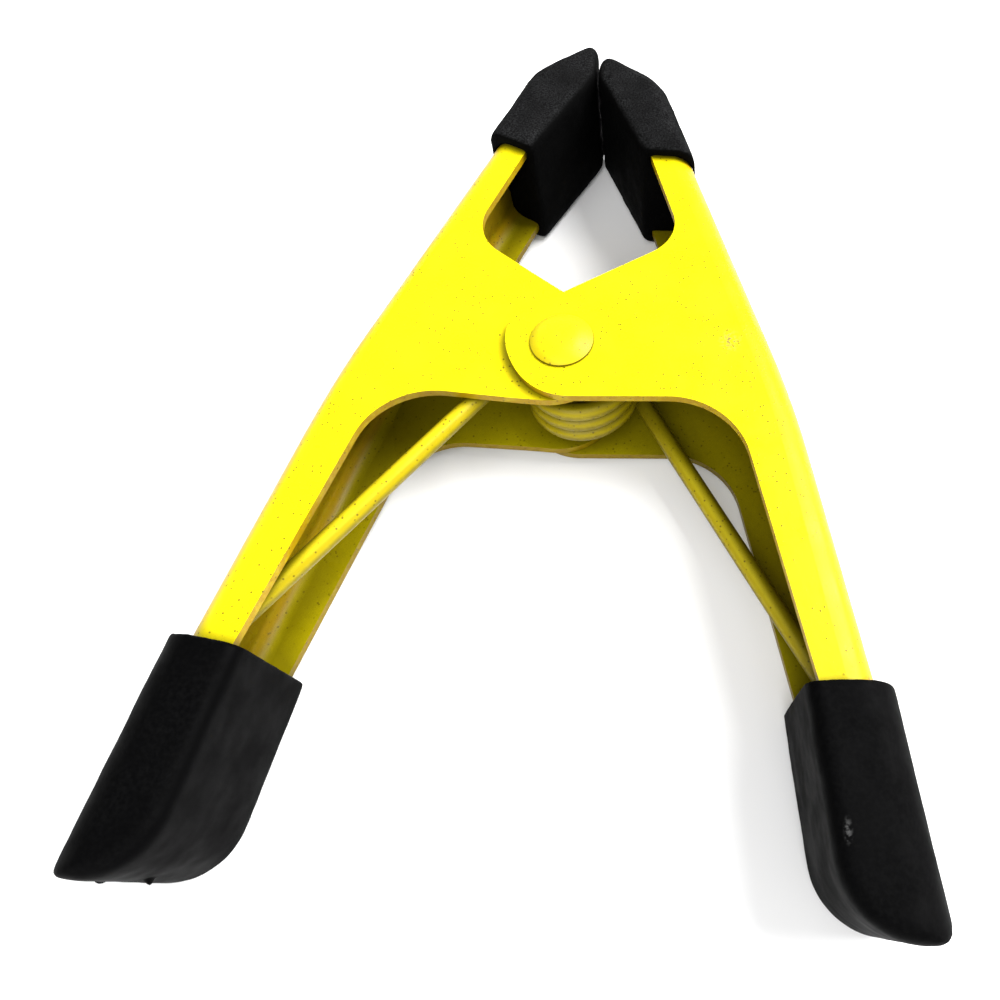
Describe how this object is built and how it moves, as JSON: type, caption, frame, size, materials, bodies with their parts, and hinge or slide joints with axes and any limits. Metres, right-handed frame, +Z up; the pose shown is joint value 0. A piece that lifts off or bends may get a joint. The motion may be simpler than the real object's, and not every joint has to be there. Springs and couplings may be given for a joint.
{
  "type": "spring clamp",
  "caption": "A-shaped pressed steel spring clamp with a riveted pivot, a torsion spring, rubber jaw caps and rubber handle sleeves.",
  "frame": {"origin": "middle of the overall box in X and Y, on the plane the clamp lies on", "axes": "+Z up, square to the side plates and along the pivot axis; +Y from the handles towards the jaws; +X towards the outer lever's side"},
  "size_m": [0.1124, 0.1606, 0.0246],
  "materials": {
    "lever_paint": "gloss lemon yellow enamel",
    "rivet_paint": "gloss lemon yellow enamel",
    "spring_paint": "semi-gloss yellow enamel on spring wire",
    "sleeve_rubber": "smooth black",
    "cap_rubber": "matt black, slightly grainy"
  },
  "bodies": {
    "outer_half": {"outer_lever": "lever_paint", "pivot_rivet": "rivet_paint", "torsion_spring": "spring_paint", "outer_handle_sleeve": "sleeve_rubber", "outer_jaw_cap": "cap_rubber"},
    "inner_half": {"inner_lever": "lever_paint", "inner_handle_sleeve": "sleeve_rubber", "inner_jaw_cap": "cap_rubber"}
  },
  "joints": [
    {"name": "pivot", "type": "hinge", "parent": "outer_half", "child": "inner_half", "pos_m": [0, 0.00509, 0.0123], "axis": [0, 0, 1], "range_deg": [0, 50], "stiffness_Nm_per_rad": 5, "springref_deg": -34.38, "deforming": ["torsion_spring"]}
  ]
}
